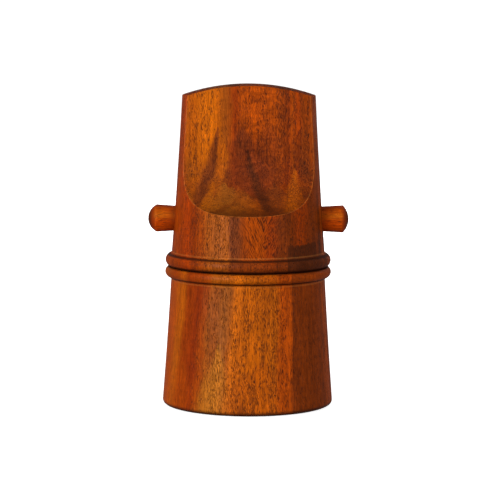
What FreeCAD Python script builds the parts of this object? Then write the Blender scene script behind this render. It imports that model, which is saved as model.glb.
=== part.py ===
import FreeCAD, Part
import math
import os

# Screw-press nutcracker in turned teak.  Millimetres, +Z up, origin at the centre of the
# face it stands on.  The base holds the nut; turning the head drives a press foot down on it.

V = FreeCAD.Vector
X_AXIS = V(1, 0, 0)
Y_AXIS = V(0, 1, 0)
Z_AXIS = V(0, 0, 1)

# ---- driving dimensions -------------------------------------------------------------------

GLUE_GAP = 0.05               # radial gap round everything let into the wood
BIG = 200.0                   # larger than the whole object, for cutting tools
OVERRUN = 1.0                 # how far a cutting tool stands past the face it cuts
TOLERANCE = 0.01              # for telling which edge is which
DIAGONAL = math.sqrt(0.5)     # sine and cosine of 45 degrees
EDGE_SAMPLES = 7              # points looked at along an edge to tell which one it is

# the resting face and the base's outside
PAD_THICKNESS = 1.3
WOOD_BOTTOM = 0.3             # the felt pad stands this far proud of the wood
FOOT_RADIUS = 40.0
FOOT_EDGE = 2.0               # rounding of the bottom edge
BASE_WAIST_Z = 30.0
BASE_WAIST_RADIUS = 38.0
BASE_NECK_Z = 58.9            # where the side begins to flare out under the lower bead
BASE_NECK_RADIUS = 36.2

# the double bead where head and base meet, with a crease beyond each bead
LOWER_CREASE_Z = 60.3
LOWER_BEAD_Z = 62.9
LOWER_BEAD_RADIUS = 38.95
LOWER_BEAD_TOP = 65.3
HEAD_BOTTOM = 65.7
UPPER_BEAD_Z = 68.5
UPPER_BEAD_RADIUS = 38.8
UPPER_CREASE_Z = 71.4
CREASE_RADIUS = 36.9
BEAD_GAP_RADIUS = 37.3        # where either bead ends, at the gap between head and base

# the head's outside, very slightly hollow along its side
HEAD_NECK_Z = 72.9            # where the side ends its flare above the upper bead
HEAD_NECK_RADIUS = 35.85
HEAD_SIDE_Z = 107.0
HEAD_SIDE_RADIUS = 33.4
RIM_Z = 145.5
RIM_RADIUS = 31.15
DOME_RADIUS = 94.0
FLAT_HALF_THICKNESS = 12.4    # the grip is two flats this far either side of the axis
COVE_RADIUS = 26.0
COVE_CENTRE_Z = 117.0
HEAD_EDGE = 0.7               # rounding round the flats, the coves and the top rim

# glue lines of the blanks: x at two heights
HEAD_RIGHT_SEAM = (18.1, 18.1)
HEAD_LEFT_SEAM = (-24.1, -24.1)
BASE_RIGHT_SEAM = (21.7, 20.2)
BASE_LEFT_SEAM = (-21.7, -20.2)

# pegs
PEG_Z = 87.6
PEG_INNER_END = 13.0
PEG_NECK_X = 34.6
PEG_NECK_RADIUS = 5.9
PEG_END_X = 47.0
PEG_END_RADIUS = 6.45
LEFT_PEG_DOME_RADIUS = 7.2
RIGHT_PEG_DOME_RADIUS = 9.2
PEG_EDGE = 0.5

# nut chamber and anvil
CHAMBER_RADIUS = 26.2
CHAMBER_FLOOR = 12.0
ANVIL_RADIUS = 25.6
ANVIL_TOP = 16.5
ANVIL_BOSS_RADIUS = 4.5
ANVIL_BOSS_BOTTOM = 5.4
SERRATION_PITCH = 4.0         # of the gripping ridges on the anvil and the press foot
SERRATION_DEPTH = 1.0
GROOVE_ANGLES = (30.0, 90.0, 150.0)
PAD_RADIUS = 31.0
COUNTERBORE_RADIUS = 8.0
COUNTERBORE_TOP = 5.0
ANVIL_SCREW_RADIUS = 2.5
ANVIL_SCREW_HEAD_RADIUS = 4.5
ANVIL_SCREW_HEAD_BOTTOM = 1.6
ANVIL_SCREW_TOP = 12.5
ANVIL_SLOT_WIDTH = 1.2
ANVIL_SLOT_DEPTH = 1.0
ANVIL_WASHER_HOLE_RADIUS = 2.7
ANVIL_WASHER_RADIUS = 7.5
ANVIL_WASHER_THICKNESS = 1.0

# the screw thread, right-handed: one turn lifts the head by one pitch
PITCH = 6.0
MALE_CREST = 25.6
MALE_ROOT = 23.0
FEMALE_CREST = 23.35
FEMALE_ROOT = 25.95
PITCH_RADIUS = 24.3
GROOVE_WIDTH = 3.3            # axial width of either groove at the pitch radius
FLANK_ANGLE = 15.0
THREAD_PHASE_Z = 29.0         # height of the male groove's centre on the +X axis
THREAD_OVERCUT = 0.4          # how far the groove cutters stand past the crests

# threaded ring in the base
RING_SLEEVE_RADIUS = 28.2
RING_BOTTOM = 43.0
FLANGE_RADIUS = 33.0
FLANGE_THICKNESS = 3.0

# threaded plunger under the head
PLUNGER_BOTTOM = 33.5
PLUNGER_FLOOR = 38.0
PLUNGER_CAVITY_RADIUS = 18.5
RELIEF_BOTTOM = 61.3
RELIEF_RADIUS = 22.8
PILOT_TOP = 35.3              # a plain pilot below the thread guides it into the ring

# wood screws through both flanges
SCREW_CIRCLE = 30.2
SCREW_ANGLES = (60.0, 120.0, 240.0, 300.0)
SCREW_HEAD_RADIUS = 2.2
SCREW_HEAD_DEPTH = 1.4
SCREW_SHANK_RADIUS = 1.1
SCREW_LENGTH = 14.0
SCREW_POINT = 2.5
SLOT_WIDTH = 0.6
SLOT_DEPTH = 0.6

# press foot and its spindle
FOOT_BOTTOM = 27.5
FOOT_TOP = 32.0
PRESS_RADIUS = 20.5
SPIGOT_RADIUS = 3.5
SPIGOT_HOLE_RADIUS = 3.51
SPIGOT_BOTTOM = 29.4
SPINDLE_RADIUS = 5.0
SPINDLE_TOP = 42.0
SPINDLE_HOLE_RADIUS = 5.08
THRUST_WASHER_RADIUS = 12.0
THRUST_WASHER_THICKNESS = 1.2
RETAINING_WASHER_BOTTOM = 38.3
RETAINING_WASHER_TOP = 39.3
RETAINING_WASHER_RADIUS = 10.0
RING_GROOVE_RADIUS = 4.0
RING_GROOVE_BOTTOM = 39.35
RING_GROOVE_TOP = 40.25
RETAINING_RING_RADIUS = 7.5
RETAINING_RING_BOTTOM = 39.4
RETAINING_RING_TOP = 40.2
RETAINING_RING_GAP_ANGLE = 70.0


# ---- shared shapes ------------------------------------------------------------------------

def cylinder(radius, bottom, top):
    return Part.makeCylinder(radius, top - bottom, V(0, 0, bottom))


def cone(bottom_radius, top_radius, bottom, top):
    return Part.makeCone(bottom_radius, top_radius, top - bottom, V(0, 0, bottom))


def ring(inner_radius, outer_radius, bottom, top):
    return cylinder(outer_radius, bottom, top).cut(cylinder(inner_radius, bottom, top))


def line(start, end):
    return Part.makeLine(V(start[0], 0, start[1]), V(end[0], 0, end[1]))


def arc(start, middle, end):
    points = [V(r, 0, z) for r, z in (start, middle, end)]
    return Part.Arc(*points).toShape()


def turned(edges):
    """A solid of revolution about Z from edges given as (radius, z) in the XZ plane."""
    return Part.Face(Part.Wire(edges)).revolve(V(0, 0, 0), Z_AXIS, 360)


def turned_polygon(points):
    closed = points + points[:1]
    return turned([line(a, b) for a, b in zip(closed[:-1], closed[1:])])


def thread_groove(inner_radius, outer_radius, opens, centre_z, turns):
    """A helical groove cutter; opens is +1 for a groove that widens outwards, -1 inwards."""
    slope = opens * math.tan(math.radians(FLANK_ANGLE))
    half_inner = GROOVE_WIDTH / 2 + (inner_radius - PITCH_RADIUS) * slope
    half_outer = GROOVE_WIDTH / 2 + (outer_radius - PITCH_RADIUS) * slope
    corners = [
        V(inner_radius, 0, -half_inner),
        V(outer_radius, 0, -half_outer),
        V(outer_radius, 0, half_outer),
        V(inner_radius, 0, half_inner),
    ]
    profile = Part.makePolygon(corners + corners[:1])
    helix = Part.makeHelix(PITCH, PITCH * turns, PITCH_RADIUS)
    groove = Part.Wire(helix).makePipeShell([profile], True, True)
    groove.translate(V(0, 0, centre_z))
    return groove


def split_into_boards(solid, left_seam, right_seam, bottom, top):
    """Left, centre and right blanks of a turned body, parted by two upright glue planes."""

    def slab(left, right):
        corners = [
            V(left[0], -BIG, bottom),
            V(right[0], -BIG, bottom),
            V(right[1], -BIG, top),
            V(left[1], -BIG, top),
        ]
        face = Part.Face(Part.makePolygon(corners + corners[:1]))
        return face.extrude(V(0, 2 * BIG, 0))

    far_left = (-BIG, -BIG)
    far_right = (BIG, BIG)
    return (
        solid.common(slab(far_left, left_seam)),
        solid.common(slab(left_seam, right_seam)),
        solid.common(slab(right_seam, far_right)),
    )


def screw_places():
    for angle in SCREW_ANGLES:
        turn = math.radians(angle)
        yield SCREW_CIRCLE * math.cos(turn), SCREW_CIRCLE * math.sin(turn)


def countersunk_screw(x, y, face_z, direction):
    """Slotted wood screw, head flush with face_z; direction is +1 pointing up, -1 down."""
    head = cone(SCREW_HEAD_RADIUS, SCREW_SHANK_RADIUS, 0, SCREW_HEAD_DEPTH)
    shank = cylinder(SCREW_SHANK_RADIUS, SCREW_HEAD_DEPTH, SCREW_LENGTH - SCREW_POINT)
    point = cone(SCREW_SHANK_RADIUS, 0, SCREW_LENGTH - SCREW_POINT, SCREW_LENGTH)
    slot = Part.makeBox(
        2 * BIG, SLOT_WIDTH, 2 * SLOT_DEPTH, V(-BIG, -SLOT_WIDTH / 2, -SLOT_DEPTH)
    )
    screw = head.fuse([shank, point]).cut(slot)
    if direction < 0:
        screw.rotate(V(0, 0, 0), X_AXIS, 180)
    screw.rotate(V(0, 0, 0), Z_AXIS, math.degrees(math.atan2(y, x)))
    screw.translate(V(x, y, face_z))
    return screw


def countersunk_hole(x, y, face_z, direction):
    """The hole that countersunk_screw fills, a glue gap larger all round."""
    head = cone(
        SCREW_HEAD_RADIUS + GLUE_GAP, SCREW_SHANK_RADIUS + GLUE_GAP, 0, SCREW_HEAD_DEPTH
    )
    shank = cylinder(SCREW_SHANK_RADIUS + GLUE_GAP, 0, SCREW_LENGTH - SCREW_POINT)
    point = cone(
        SCREW_SHANK_RADIUS + GLUE_GAP, GLUE_GAP, SCREW_LENGTH - SCREW_POINT, SCREW_LENGTH + GLUE_GAP
    )
    hole = head.fuse([shank, point])
    if direction < 0:
        hole.rotate(V(0, 0, 0), X_AXIS, 180)
    hole.translate(V(x, y, face_z))
    return hole


def flare(neck, crease):
    """The hollow quarter round between a straight neck and the crease beside a bead."""
    spread = crease[0] - neck[0]
    rise = crease[1] - neck[1]
    return crease[0] - spread * DIAGONAL, neck[1] + rise * DIAGONAL


# ---- base ---------------------------------------------------------------------------------

def base_outside():
    corner = (FOOT_RADIUS - FOOT_EDGE, WOOD_BOTTOM)
    side_start = (FOOT_RADIUS, WOOD_BOTTOM + FOOT_EDGE)
    edge_middle = (
        FOOT_RADIUS - FOOT_EDGE * (1 - DIAGONAL),
        WOOD_BOTTOM + FOOT_EDGE * (1 - DIAGONAL),
    )
    neck = (BASE_NECK_RADIUS, BASE_NECK_Z)
    crease = (CREASE_RADIUS, LOWER_CREASE_Z)
    rim = (BEAD_GAP_RADIUS, LOWER_BEAD_TOP)
    return turned([
        line((0, WOOD_BOTTOM), corner),
        arc(corner, edge_middle, side_start),
        arc(side_start, (BASE_WAIST_RADIUS, BASE_WAIST_Z), neck),
        arc(neck, flare(neck, crease), crease),
        arc(crease, (LOWER_BEAD_RADIUS, LOWER_BEAD_Z), rim),
        line(rim, (0, LOWER_BEAD_TOP)),
        line((0, LOWER_BEAD_TOP), (0, WOOD_BOTTOM)),
    ])


def base_boards():
    flange_bottom = LOWER_BEAD_TOP - FLANGE_THICKNESS
    hollow = cylinder(CHAMBER_RADIUS, CHAMBER_FLOOR, RING_BOTTOM).fuse([
        cylinder(RING_SLEEVE_RADIUS + GLUE_GAP, RING_BOTTOM, flange_bottom),
        cylinder(FLANGE_RADIUS + GLUE_GAP, flange_bottom, LOWER_BEAD_TOP + OVERRUN),
        cylinder(ANVIL_BOSS_RADIUS + GLUE_GAP, 0, CHAMBER_FLOOR),
        cylinder(COUNTERBORE_RADIUS, 0, COUNTERBORE_TOP),
        cylinder(PAD_RADIUS + GLUE_GAP, 0, PAD_THICKNESS),
    ])
    wood = base_outside().cut(hollow)
    for x, y in screw_places():
        wood = wood.cut(countersunk_hole(x, y, LOWER_BEAD_TOP, -1))
    return split_into_boards(
        wood, BASE_LEFT_SEAM, BASE_RIGHT_SEAM, WOOD_BOTTOM, LOWER_BEAD_TOP
    )


def threaded_ring():
    flange_bottom = LOWER_BEAD_TOP - FLANGE_THICKNESS
    body = cylinder(RING_SLEEVE_RADIUS, RING_BOTTOM, LOWER_BEAD_TOP)
    body = body.fuse(cylinder(FLANGE_RADIUS, flange_bottom, LOWER_BEAD_TOP))
    start_z = THREAD_PHASE_Z + 1.5 * PITCH
    turns = math.ceil((LOWER_BEAD_TOP + PITCH / 2 - start_z) / PITCH)
    inner = FEMALE_CREST - THREAD_OVERCUT
    body = body.cut(thread_groove(inner, FEMALE_ROOT, -1, start_z, turns))
    body = body.cut(cylinder(FEMALE_CREST, RING_BOTTOM - OVERRUN, LOWER_BEAD_TOP + OVERRUN))
    mouth_bottom = LOWER_BEAD_TOP - (FEMALE_ROOT - FEMALE_CREST)
    body = body.cut(cone(FEMALE_CREST, FEMALE_ROOT, mouth_bottom, LOWER_BEAD_TOP))
    for x, y in screw_places():
        body = body.cut(countersunk_hole(x, y, LOWER_BEAD_TOP, -1))
    return body


def ring_screws():
    return Part.makeCompound(
        [countersunk_screw(x, y, LOWER_BEAD_TOP, -1) for x, y in screw_places()]
    )


def serrated_disc(radius, face_z, back_z, centre_radius):
    """A disc whose face at face_z carries turned V ridges, crossed by six radial grooves."""
    towards_back = 1.0 if back_z > face_z else -1.0
    root_z = face_z + towards_back * SERRATION_DEPTH
    points = [(0, back_z), (0, face_z), (centre_radius, face_z)]
    crest = centre_radius + SERRATION_PITCH
    while crest < radius - SERRATION_PITCH / 2:
        points.append((crest - SERRATION_PITCH / 2, root_z))
        points.append((crest, face_z))
        crest += SERRATION_PITCH
    points.append((radius - SERRATION_DEPTH, face_z))
    points.append((radius, root_z))
    points.append((radius, back_z))
    disc = turned_polygon(points)
    mouth_z = face_z - towards_back * OVERRUN
    half_mouth = SERRATION_DEPTH + OVERRUN
    corners = [V(-BIG, -half_mouth, mouth_z), V(-BIG, half_mouth, mouth_z), V(-BIG, 0, root_z)]
    groove = Part.Face(Part.makePolygon(corners + corners[:1])).extrude(V(2 * BIG, 0, 0))
    for angle in GROOVE_ANGLES:
        crossing = groove.copy()
        crossing.rotate(V(0, 0, 0), Z_AXIS, angle)
        disc = disc.cut(crossing)
    return disc


def anvil_plate():
    plate = serrated_disc(ANVIL_RADIUS, ANVIL_TOP, CHAMBER_FLOOR, SERRATION_PITCH)
    boss = cylinder(ANVIL_BOSS_RADIUS, ANVIL_BOSS_BOTTOM, CHAMBER_FLOOR)
    tapped = cylinder(ANVIL_SCREW_RADIUS + GLUE_GAP, 0, ANVIL_SCREW_TOP + GLUE_GAP)
    return plate.fuse(boss).cut(tapped)


def anvil_screw():
    head_top = COUNTERBORE_TOP - ANVIL_WASHER_THICKNESS
    head = cylinder(ANVIL_SCREW_HEAD_RADIUS, ANVIL_SCREW_HEAD_BOTTOM, head_top)
    shank = cylinder(ANVIL_SCREW_RADIUS, head_top, ANVIL_SCREW_TOP)
    slot = Part.makeBox(
        2 * BIG,
        ANVIL_SLOT_WIDTH,
        ANVIL_SLOT_DEPTH + OVERRUN,
        V(-BIG, -ANVIL_SLOT_WIDTH / 2, ANVIL_SCREW_HEAD_BOTTOM - OVERRUN),
    )
    return head.fuse(shank).cut(slot)


def anvil_washer():
    bottom = COUNTERBORE_TOP - ANVIL_WASHER_THICKNESS
    return ring(ANVIL_WASHER_HOLE_RADIUS, ANVIL_WASHER_RADIUS, bottom, COUNTERBORE_TOP)


def base_pad():
    return cylinder(PAD_RADIUS, 0, PAD_THICKNESS)


# ---- head ---------------------------------------------------------------------------------

def head_outside():
    apex_z = RIM_Z + DOME_RADIUS - math.sqrt(DOME_RADIUS ** 2 - RIM_RADIUS ** 2)
    halfway = RIM_RADIUS / 2
    dome_middle = (halfway, apex_z - DOME_RADIUS + math.sqrt(DOME_RADIUS ** 2 - halfway ** 2))
    bottom = (BEAD_GAP_RADIUS, HEAD_BOTTOM)
    crease = (CREASE_RADIUS, UPPER_CREASE_Z)
    neck = (HEAD_NECK_RADIUS, HEAD_NECK_Z)
    rim = (RIM_RADIUS, RIM_Z)
    return turned([
        line((0, HEAD_BOTTOM), bottom),
        arc(bottom, (UPPER_BEAD_RADIUS, UPPER_BEAD_Z), crease),
        arc(crease, flare(neck, crease), neck),
        arc(neck, (HEAD_SIDE_RADIUS, HEAD_SIDE_Z), rim),
        arc(rim, dome_middle, (0, apex_z)),
        line((0, apex_z), (0, HEAD_BOTTOM)),
    ])


def grip_cutter(side):
    """Everything outside one flat, with the cove that the flat runs out in."""
    flat = side * FLAT_HALF_THICKNESS
    cove_centre = side * (FLAT_HALF_THICKNESS + COVE_RADIUS)
    cove_middle_y = cove_centre - side * COVE_RADIUS * DIAGONAL
    cove_middle_z = COVE_CENTRE_Z - COVE_RADIUS * DIAGONAL
    cove_bottom = COVE_CENTRE_Z - COVE_RADIUS
    outer = side * BIG
    top = V(-BIG, flat, BIG)
    flat_end = V(-BIG, flat, COVE_CENTRE_Z)
    cove_end = V(-BIG, cove_centre, cove_bottom)
    outer_low = V(-BIG, outer, cove_bottom)
    outer_high = V(-BIG, outer, BIG)
    cove = Part.Arc(flat_end, V(-BIG, cove_middle_y, cove_middle_z), cove_end).toShape()
    outline = Part.Wire([
        Part.makeLine(top, flat_end),
        cove,
        Part.makeLine(cove_end, outer_low),
        Part.makeLine(outer_low, outer_high),
        Part.makeLine(outer_high, top),
    ])
    return Part.Face(outline).extrude(V(2 * BIG, 0, 0))


def is_level(edge, z):
    return all(abs(point.z - z) < TOLERANCE for point in edge.discretize(EDGE_SAMPLES))


def is_flat_edge(edge):
    """An edge between a flat or cove and the turned surface."""
    points = edge.discretize(EDGE_SAMPLES)
    on_outline = []
    for point in points:
        if point.z >= COVE_CENTRE_Z:
            wall_y = FLAT_HALF_THICKNESS
        else:
            drop = min(COVE_CENTRE_Z - point.z, COVE_RADIUS)
            wall_y = FLAT_HALF_THICKNESS + COVE_RADIUS - math.sqrt(COVE_RADIUS ** 2 - drop ** 2)
        on_outline.append(abs(abs(point.y) - wall_y) < TOLERANCE)
    return all(on_outline) and not is_level(edge, COVE_CENTRE_Z)


def head_blank():
    blank = head_outside().cut([grip_cutter(-1), grip_cutter(1)])
    edges = [edge for edge in blank.Edges if not edge.Degenerated]
    softened = [edge for edge in edges if is_level(edge, RIM_Z) or is_flat_edge(edge)]
    return blank.makeFillet(HEAD_EDGE, softened)


def peg_bore(side):
    length = PEG_END_X - PEG_INNER_END
    start = V(side * PEG_INNER_END, 0, PEG_Z)
    return Part.makeCylinder(PEG_NECK_RADIUS + GLUE_GAP, length, start, V(side, 0, 0))


def head_boards():
    wood = head_blank()
    flange_top = HEAD_BOTTOM + FLANGE_THICKNESS
    wood = wood.cut(cylinder(FLANGE_RADIUS + GLUE_GAP, HEAD_BOTTOM - OVERRUN, flange_top))
    wood = wood.cut([peg_bore(-1), peg_bore(1)])
    for x, y in screw_places():
        wood = wood.cut(countersunk_hole(x, y, HEAD_BOTTOM, 1))
    return split_into_boards(wood, HEAD_LEFT_SEAM, HEAD_RIGHT_SEAM, HEAD_BOTTOM, BIG)


def peg(side, dome_radius):
    """A turned peg: straight where it is glued in, slightly flared outside, domed end."""
    edge_x = PEG_END_X - dome_radius + math.sqrt(dome_radius ** 2 - PEG_END_RADIUS ** 2)
    dome_centre = PEG_END_X - dome_radius
    half_radius = PEG_END_RADIUS / 2
    dome_middle_x = dome_centre + math.sqrt(dome_radius ** 2 - half_radius ** 2)
    outline = [
        (0, PEG_INNER_END),
        (PEG_NECK_RADIUS, PEG_INNER_END),
        (PEG_NECK_RADIUS, PEG_NECK_X),
        (PEG_END_RADIUS, edge_x),
    ]
    edges = [line(a, b) for a, b in zip(outline[:-1], outline[1:])]
    edges.append(arc(outline[-1], (half_radius, dome_middle_x), (0, PEG_END_X)))
    edges.append(line((0, PEG_END_X), (0, PEG_INNER_END)))
    shape = turned(edges)
    edges = [edge for edge in shape.Edges if not edge.Degenerated]
    shape = shape.makeFillet(PEG_EDGE, [edge for edge in edges if is_level(edge, edge_x)])
    shape.rotate(V(0, 0, 0), Y_AXIS, side * 90)
    shape.translate(V(0, 0, PEG_Z))
    return shape


def threaded_plunger():
    flange_top = HEAD_BOTTOM + FLANGE_THICKNESS
    body = cylinder(MALE_CREST, PLUNGER_BOTTOM, HEAD_BOTTOM)
    body = body.fuse(cylinder(FLANGE_RADIUS, HEAD_BOTTOM, flange_top))
    outside = MALE_CREST + OVERRUN
    below_pilot = turned_polygon([
        (RELIEF_RADIUS, PLUNGER_BOTTOM - OVERRUN),
        (RELIEF_RADIUS, PILOT_TOP),
        (outside, PILOT_TOP + outside - RELIEF_RADIUS),
        (outside, PLUNGER_BOTTOM - OVERRUN),
    ])
    relief = ring(RELIEF_RADIUS, outside, RELIEF_BOTTOM, HEAD_BOTTOM)
    cavity = cylinder(PLUNGER_CAVITY_RADIUS, PLUNGER_FLOOR, flange_top + OVERRUN)
    hole = cylinder(SPINDLE_HOLE_RADIUS, PLUNGER_BOTTOM - OVERRUN, PLUNGER_FLOOR + OVERRUN)
    run_out_z = (RELIEF_BOTTOM + HEAD_BOTTOM) / 2
    turns = (run_out_z - THREAD_PHASE_Z) / PITCH
    groove = thread_groove(MALE_ROOT, MALE_CREST + THREAD_OVERCUT, 1, THREAD_PHASE_Z, turns)
    body = body.cut(groove).cut([below_pilot, relief, cavity, hole])
    for x, y in screw_places():
        body = body.cut(countersunk_hole(x, y, HEAD_BOTTOM, 1))
    return body


def plunger_screws():
    return Part.makeCompound([countersunk_screw(x, y, HEAD_BOTTOM, 1) for x, y in screw_places()])


# ---- press foot ---------------------------------------------------------------------------

def press_foot():
    disc = serrated_disc(PRESS_RADIUS, FOOT_BOTTOM, FOOT_TOP, SERRATION_PITCH)
    return disc.cut(cylinder(SPIGOT_HOLE_RADIUS, SPIGOT_BOTTOM, FOOT_TOP + OVERRUN))


def foot_spindle():
    spigot = cylinder(SPIGOT_RADIUS, SPIGOT_BOTTOM, FOOT_TOP)
    stem = cylinder(SPINDLE_RADIUS, FOOT_TOP, SPINDLE_TOP)
    outside = SPINDLE_RADIUS + OVERRUN
    groove = ring(RING_GROOVE_RADIUS, outside, RING_GROOVE_BOTTOM, RING_GROOVE_TOP)
    return spigot.fuse(stem).cut(groove)


def thrust_washer():
    return ring(
        SPINDLE_HOLE_RADIUS, THRUST_WASHER_RADIUS, FOOT_TOP, FOOT_TOP + THRUST_WASHER_THICKNESS
    )


def retaining_washer():
    return ring(
        SPINDLE_HOLE_RADIUS,
        RETAINING_WASHER_RADIUS,
        RETAINING_WASHER_BOTTOM,
        RETAINING_WASHER_TOP,
    )


def retaining_ring():
    clip = ring(
        RING_GROOVE_RADIUS + GLUE_GAP,
        RETAINING_RING_RADIUS,
        RETAINING_RING_BOTTOM,
        RETAINING_RING_TOP,
    )
    half = math.radians(RETAINING_RING_GAP_ANGLE / 2)
    reach = 2 * RETAINING_RING_RADIUS
    corners = [
        V(0, 0, RETAINING_RING_BOTTOM - OVERRUN),
        V(reach * math.cos(half), -reach * math.sin(half), RETAINING_RING_BOTTOM - OVERRUN),
        V(reach * math.cos(half), reach * math.sin(half), RETAINING_RING_BOTTOM - OVERRUN),
    ]
    mouth = Part.Face(Part.makePolygon(corners + corners[:1]))
    height = RETAINING_RING_TOP - RETAINING_RING_BOTTOM + 2 * OVERRUN
    return clip.cut(mouth.extrude(V(0, 0, height)))


# ---- export -------------------------------------------------------------------------------

def nodes():
    base_left, base_center, base_right = base_boards()
    head_left, head_center, head_right = head_boards()
    return {
        "base_board_left": base_left,
        "base_board_center": base_center,
        "base_board_right": base_right,
        "threaded_ring": threaded_ring(),
        "ring_screws": ring_screws(),
        "anvil_plate": anvil_plate(),
        "anvil_screw": anvil_screw(),
        "anvil_washer": anvil_washer(),
        "base_pad": base_pad(),
        "press_foot": press_foot(),
        "foot_spindle": foot_spindle(),
        "thrust_washer": thrust_washer(),
        "retaining_washer": retaining_washer(),
        "retaining_ring": retaining_ring(),
        "head_board_left": head_left,
        "head_board_center": head_center,
        "head_board_right": head_right,
        "threaded_plunger": threaded_plunger(),
        "plunger_screws": plunger_screws(),
        "left_peg": peg(-1, LEFT_PEG_DOME_RADIUS),
        "right_peg": peg(1, RIGHT_PEG_DOME_RADIUS),
    }


os.makedirs("parts", exist_ok=True)
for name, shape in nodes().items():
    shape.exportStep(f"parts/{name}.step")
    print(f"{name}: {len(shape.Solids)} solids, {shape.Volume:.0f} mm3, valid {shape.isValid()}")
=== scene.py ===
import math

import bmesh
import bpy
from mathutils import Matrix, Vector, noise


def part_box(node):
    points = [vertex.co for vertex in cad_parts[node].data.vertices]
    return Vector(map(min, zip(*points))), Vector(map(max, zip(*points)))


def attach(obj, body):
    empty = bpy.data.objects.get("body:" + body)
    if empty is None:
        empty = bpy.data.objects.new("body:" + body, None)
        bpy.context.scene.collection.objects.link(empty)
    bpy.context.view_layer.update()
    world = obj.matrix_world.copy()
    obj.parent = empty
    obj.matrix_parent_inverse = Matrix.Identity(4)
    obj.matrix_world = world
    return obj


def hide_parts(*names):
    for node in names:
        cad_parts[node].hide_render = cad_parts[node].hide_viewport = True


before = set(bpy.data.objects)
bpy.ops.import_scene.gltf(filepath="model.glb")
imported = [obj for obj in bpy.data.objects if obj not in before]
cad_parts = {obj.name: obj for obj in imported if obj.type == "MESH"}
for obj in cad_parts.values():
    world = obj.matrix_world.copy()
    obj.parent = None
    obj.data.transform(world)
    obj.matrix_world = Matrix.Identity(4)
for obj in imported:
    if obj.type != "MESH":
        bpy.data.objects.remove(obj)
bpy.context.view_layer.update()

# Screw-press nutcracker in oiled teak.  The wood is one solid figure per turned body: the
# shaders work in millimetres of the CAD frame, so the grain runs through the boards and moves
# with them.  Lengths outside the shaders are in metres.

MM = 0.001


def node_box_mm(node):
    """The lowest and highest corner of a CAD node's box."""
    low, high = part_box(node)
    return low / MM, high / MM


HEAD_LOW, HEAD_HIGH = node_box_mm("head_board_center")
BASE_LOW, BASE_HIGH = node_box_mm("base_board_center")
HEAD_LEFT_SEAM = HEAD_LOW.x
HEAD_RIGHT_SEAM = HEAD_HIGH.x
BASE_SEAM_BOTTOM = BASE_HIGH.x
BASE_SEAM_TOP = node_box_mm("base_board_right")[0].x

# the head's turned side, from its neck to its rim: everything deeper is a flat or a cove
HEAD_NECK_Z = 72.9
HEAD_NECK_RADIUS = 35.85
HEAD_RIM_Z = 145.5
HEAD_RIM_RADIUS = 31.15
HEAD_HOLLOW = 0.24            # how far the side dips below a straight cone at half height
HEAD_FLAT_Y = 12.4            # half the thickness across the flats
PEG_Z = 87.6                  # the pegs' axis


# ---- colours ------------------------------------------------------------------------------

def linear(red, green, blue):
    """Scene-linear colour from red, green and blue as seen, 0 to 255."""

    def channel(value):
        share = value / 255
        return share / 12.92 if share <= 0.04045 else ((share + 0.055) / 1.055) ** 2.4

    return channel(red), channel(green), channel(blue), 1.0


HONEY = linear(200, 98, 6)
COPPER = linear(187, 68, 2)
AMBER = linear(184, 88, 6)
OCHRE = linear(166, 80, 12)
TAN = linear(170, 84, 14)
STRAW = linear(196, 114, 22)
FAWN = linear(148, 70, 12)
OLIVE = linear(142, 76, 18)
FLAME = linear(178, 72, 3)
SIENNA = linear(162, 66, 5)
EMBER = linear(166, 58, 3)
RUSSET = linear(148, 54, 4)
BRICK = linear(138, 46, 5)
WINE = linear(118, 46, 13)
CHESTNUT = linear(124, 50, 8)
PLUM = linear(122, 54, 15)
UMBER = linear(102, 42, 9)
COCOA = linear(84, 36, 12)
# deep brown: pores, end grain and glue lines, and also the painted shade in the creases and at the
# pegs' roots
DEEP_BROWN = linear(52, 22, 9)
# pale tint of the painted highlights on the crease lips and on the cut faces' edge
HIGHLIGHT_PALE = linear(222, 138, 66)


# ---- node helpers -------------------------------------------------------------------------

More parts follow.
